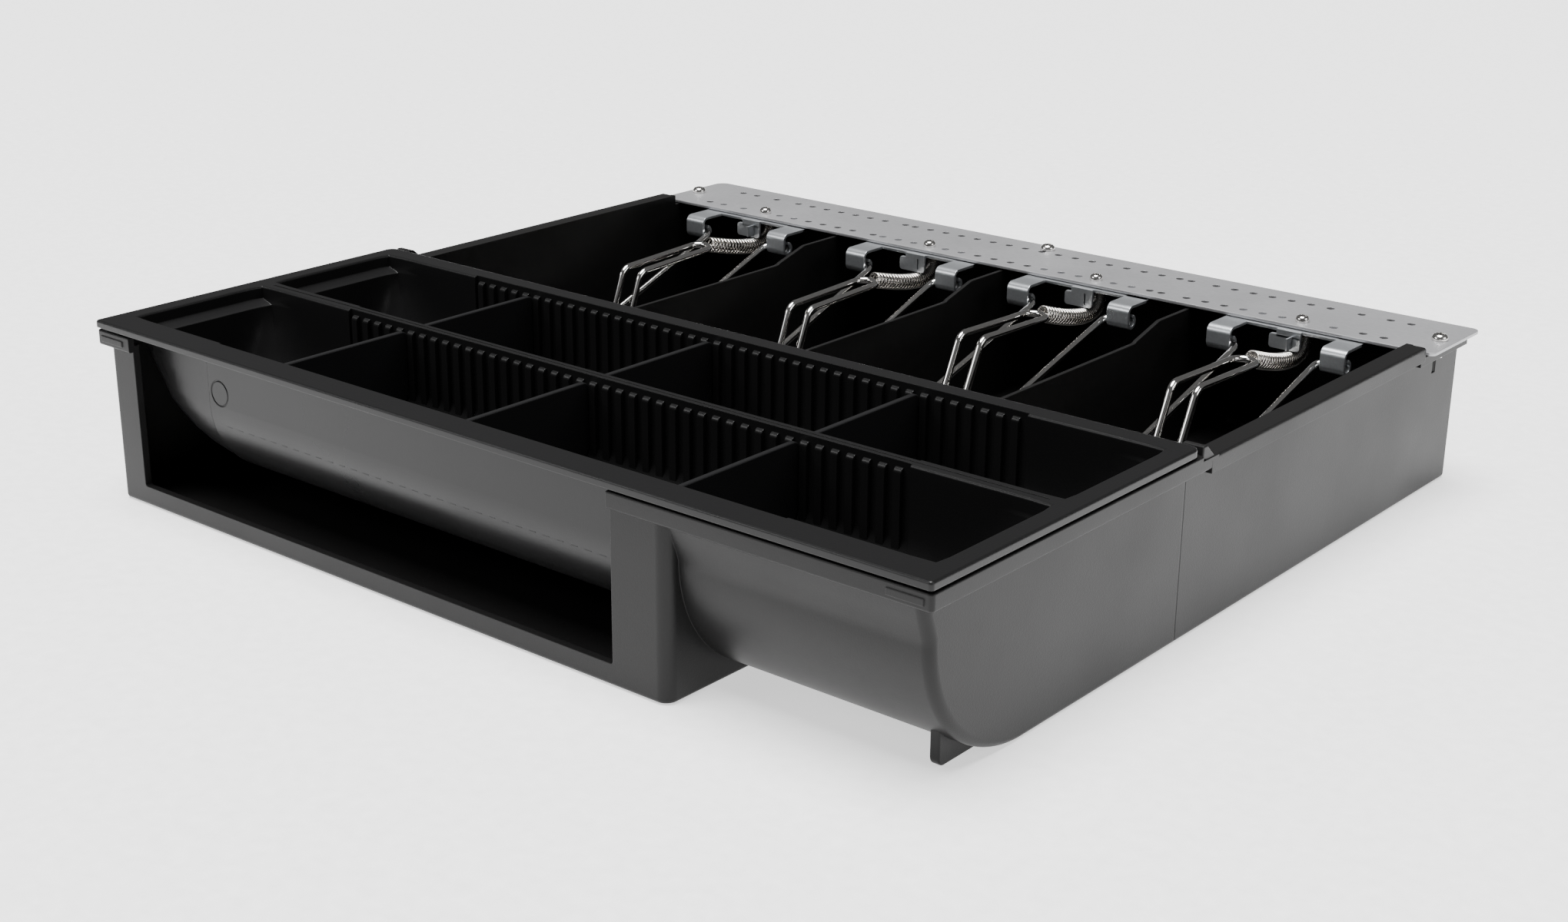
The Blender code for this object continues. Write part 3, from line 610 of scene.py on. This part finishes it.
def make_bracket(number, x):
    top = 0.0546
    middle = top - 0.0006
    front = PIVOT.x - CURL
    base = box((x - BRACKET_HALF, 0.2850, top - SHEET), (x + BRACKET_HALF, 0.2995, top), 0.0002, 2)
    steps = ["+"]
    path = [(0.2960, middle), (0.2860, middle)]
    path += arc((front + 0.0022, middle - 0.0022), 0.0022, 90.0, 180.0, 8)
    path += arc(PIVOT, CURL, 180.0, 438.0, 26)
    for low, high in ((x - BRACKET_HALF, x - EAR_INSIDE), (x + EAR_INSIDE, x + BRACKET_HALF)):
        steps.append(prism(ribbon(path, SHEET), low, high, "x", 0.0002, 2))
    neck = box((x - 0.0052, 0.2838, 0.0515), (x + 0.0042, 0.2850, top - 0.0001), 0.0002, 2)
    corners = (0.0006, 0.0012, 0.0012, 0.0012)
    plate = rounded_rectangle((x - 0.0080, 0.0472), (x + 0.0042, 0.0526), corners, 4)
    steps += [neck, prism(plate, 0.2838, 0.2850, "y", 0.0002, 2), "-",
              box((x + 0.0006, 0.2800, 0.0482), (x + 0.0012, 0.2848 + 0.003, 0.0526)),
              rods([(x, SCREW_Y)], SCREW_HOLE, 0.0500, 0.0600)]
    piece("clip_bracket_%d_sheet" % number, solve(base, *steps), bracket_look, "tray",
          ("clip_bracket_%d" % number,))


def make_clip(number, x):
    """Half of the wire from the hairpin to the pivot's end, then its mirror image, turned to its height."""
    slope = math.radians(CLIP_SLOPE)
    tip = Vector((PIVOT.x - CLIP_REACH * math.cos(slope), PIVOT.y - CLIP_REACH * math.sin(slope)))
    corners = [(LEG_X, *HAIRPIN), (LEG_X, 0.2110, 0.0520), (LEG_X, tip.x + 0.0010, tip.y),
               (FOOT_X, tip.x, tip.y), (FOOT_X, PIVOT.x, PIVOT.y), (PIVOT_END_X, PIVOT.x, PIVOT.y)]
    half = rounded_path(corners, (0.0050, 0.0046, 0.0050, 0.0028), 10)
    bend = []
    for step in range(0, 8):
        angle = math.radians(step * 90.0 / 8.0)
        bend.append(Vector((LEG_X * math.sin(angle), HAIRPIN[0] + LEG_X * math.cos(angle), HAIRPIN[1])))
    half = bend + half
    points = [Vector((-p.x, p.y, p.z)) for p in reversed(half[1:])] + half
    lower = Matrix.Rotation(math.radians(LOWER[number - 1]), 4, "X")
    turn = Matrix.Translation((x, PIVOT.x, PIVOT.y)) @ lower
    turn = turn @ Matrix.Translation((0.0, -PIVOT.x, -PIVOT.y))
    name = "bill_clip_%d" % number
    piece(name + "_wire", wire(points, CLIP_WIRE, 5), clip_look, name, (name,), turn=turn,
          sharp=60.0)


def make_spring(number, x):
    """Coil round a Bezier curve from the hairpin to the bracket's tab."""
    drop = math.radians(LOWER[number - 1])
    start = Vector((0.2565 - PIVOT.x, 0.0506 - PIVOT.y))
    start = Vector((start.x * math.cos(drop) - start.y * math.sin(drop),
                    start.x * math.sin(drop) + start.y * math.cos(drop))) + PIVOT
    ends = (start, Vector((0.2720, 0.0454)), Vector((0.2885, 0.0408)), Vector((0.2967, 0.0425)),
            Vector((0.2967, 0.0512)))
    line = []
    for step in range(LINE_STEPS + 1):
        t = step / float(LINE_STEPS)
        blend = [math.comb(4, k) * t ** k * (1.0 - t) ** (4 - k) for k in range(5)]
        line.append(sum((end * weight for end, weight in zip(ends, blend)), Vector((0.0, 0.0))))
    length = sum((b - a).length for a, b in zip(line, line[1:]))
    count = int(length / COIL_PITCH) * POINTS_PER_TURN
    points = []
    for step in range(count + 1):
        t = step / count * float(LINE_STEPS)
        index = min(int(t), LINE_STEPS - 1)
        here = line[index].lerp(line[index + 1], t - index)
        run = (line[index + 1] - line[index]).normalized()
        across = Vector((-run.y, run.x))
        angle = 2.0 * math.pi * step / POINTS_PER_TURN
        points.append((x + COIL_RADIUS * math.cos(angle), here.x + across.x * COIL_RADIUS * math.sin(angle),
                       here.y + across.y * COIL_RADIUS * math.sin(angle)))
    made = piece("clip_spring_%d_coil" % number, wire(points, COIL_WIRE, 2), spring_look, None,
                 ("clip_spring_%d" % number,), sharp=60.0)
    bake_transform(made)


def turned(profile, x, y, count):
    """Solid of revolution about an upright axis, from a profile that starts and ends on it."""
    bm = bmesh.new()
    rings = []
    for r, z in profile:
        ring = []
        for k in range(count if r else 1):
            angle = 2.0 * math.pi * k / count
            ring.append(bm.verts.new((x + r * math.cos(angle), y + r * math.sin(angle), z)))
        rings.append(ring)
    for upper, lower in zip(rings, rings[1:]):
        for k in range(count):
            a, b = k, (k + 1) % count
            if len(upper) == 1:
                bm.faces.new((upper[0], lower[a], lower[b]))
            elif len(lower) == 1:
                bm.faces.new((upper[a], lower[0], upper[b]))
            else:
                bm.faces.new((upper[a], lower[a], lower[b], upper[b]))
    return solid(bm)


def make_screw(name, x, y, radius, length):
    """Domed head with a crossed recess, on a shank."""
    seat = 0.0564
    top = seat + 0.0020
    shank = 0.0014
    profile = [(0.0, top), (radius * 0.45, top - 0.00004), (radius * 0.70, top - 0.00022),
               (radius * 0.88, top - 0.0007), (radius * 0.97, top - 0.0012), (radius, top - 0.0016),
               (radius, seat - 0.0002), (shank, seat - 0.0002), (shank, seat - length),
               (0.0, seat - length - 0.0006)]
    head = turned(profile, x, y, 32)
    arm, slit = radius * 0.55, 0.00035
    first_arm = box((x - arm, y - slit, top - 0.0010), (x + arm, y + slit, top + 0.001))
    second_arm = box((x - slit, y - arm, top - 0.0010), (x + slit, y + arm, top + 0.0011))
    head = solve(head, "-", first_arm, second_arm)
    piece(name + "_head", head, screw_look, "tray", (name,))


make_body()
make_coin_tray()
make_dividers()
make_bar()
for number, x in enumerate(CLIPS, 1):
    make_bracket(number, x)
    make_clip(number, x)
    make_spring(number, x)
    make_screw("bracket_screw_%d" % number, x, SCREW_Y, 0.0025, 0.0045)
for number, (x, y) in enumerate(BAR_SCREWS, 1):
    make_screw("bar_screw_%d" % number, x, y, 0.0029, 0.0065)

looks = {"tray_body": body_look, "coin_tray": coin_look, "hinge_bar": bar_look}
for name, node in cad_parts.items():
    for start, look in (("coin_divider", divider_look), ("clip_bracket", bracket_look),
                        ("bill_clip", clip_look), ("clip_spring", spring_look),
                        ("bracket_screw", screw_look), ("bar_screw", screw_look)):
        if name.startswith(start):
            looks[name] = look
    node.data.materials.clear()
    node.data.materials.append(looks[name])

# ---------------------------------------------------------------- floor, light and camera
floor_mesh = bpy.data.meshes.new("studio_floor")
REACH, UNDER = 9, -0.0002
corners = [(-REACH, -REACH, UNDER), (REACH, -REACH, UNDER), (REACH, REACH, UNDER), (-REACH, REACH, UNDER)]
floor_mesh.from_pydata(corners, [], [(0, 1, 2, 3)])
floor = bpy.data.objects.new("studio_floor", floor_mesh)
scene.collection.objects.link(floor)
paper = finish("floor_paper", (0.86, 0.86, 0.86), 0.75, grain=0.05, size=200.0, edge=0.0)
glow = paper.node_tree.nodes["Principled BSDF"]
glow.inputs["Emission Color"].default_value = (1.0, 1.0, 1.0, 1.0)
glow.inputs["Emission Strength"].default_value = 1.0
floor_mesh.materials.append(paper)

world = bpy.data.worlds.new("studio")
scene.world = world
world.use_nodes = True
world.node_tree.nodes["Background"].inputs["Color"].default_value = (1.0, 1.0, 1.0, 1.0)
world.node_tree.nodes["Background"].inputs["Strength"].default_value = 0.12


def sun(name, towards, strength, angle):
    light = bpy.data.lights.new(name, "SUN")
    light.energy = strength
    light.angle = math.radians(angle)
    made = bpy.data.objects.new(name, light)
    made.rotation_euler = Vector(towards).to_track_quat("-Z", "Y").to_euler()
    scene.collection.objects.link(made)


def panel(name, place, aim, size, power):
    light = bpy.data.lights.new(name, "AREA")
    light.shape = "RECTANGLE"
    light.size, light.size_y = size
    light.energy = power
    made = bpy.data.objects.new(name, light)
    made.location = place
    made.rotation_euler = (Vector(aim) - Vector(place)).to_track_quat("-Z", "Y").to_euler()
    scene.collection.objects.link(made)


sun("overhead", (0.05, 0.10, -1.0), 7.0, 40.0)
panel("left_box", (-0.9, -1.2, 0.9), (0.0, 0.0, 0.0), (0.9, 0.5), 7.0)
panel("right_box", (1.3, 0.3, 0.7), (0.1, 0.0, 0.0), (0.8, 0.5), 4.0)

turn = Vector((1.82624, 0.66384, -0.45558))
seen = Matrix.Rotation(turn.length, 3, turn.normalized()).transposed() @ Matrix.Diagonal((1.0, -1.0, -1.0))
lens = bpy.data.cameras.new("camera")
lens.sensor_width = 36.0
lens.sensor_fit = "HORIZONTAL"
lens.lens = 50.70
lens.clip_start = 0.01
camera = bpy.data.objects.new("camera", lens)
camera.matrix_world = Matrix.Translation((0.4626, -0.5691, 0.2735)) @ seen.to_4x4()
scene.collection.objects.link(camera)
scene.camera = camera
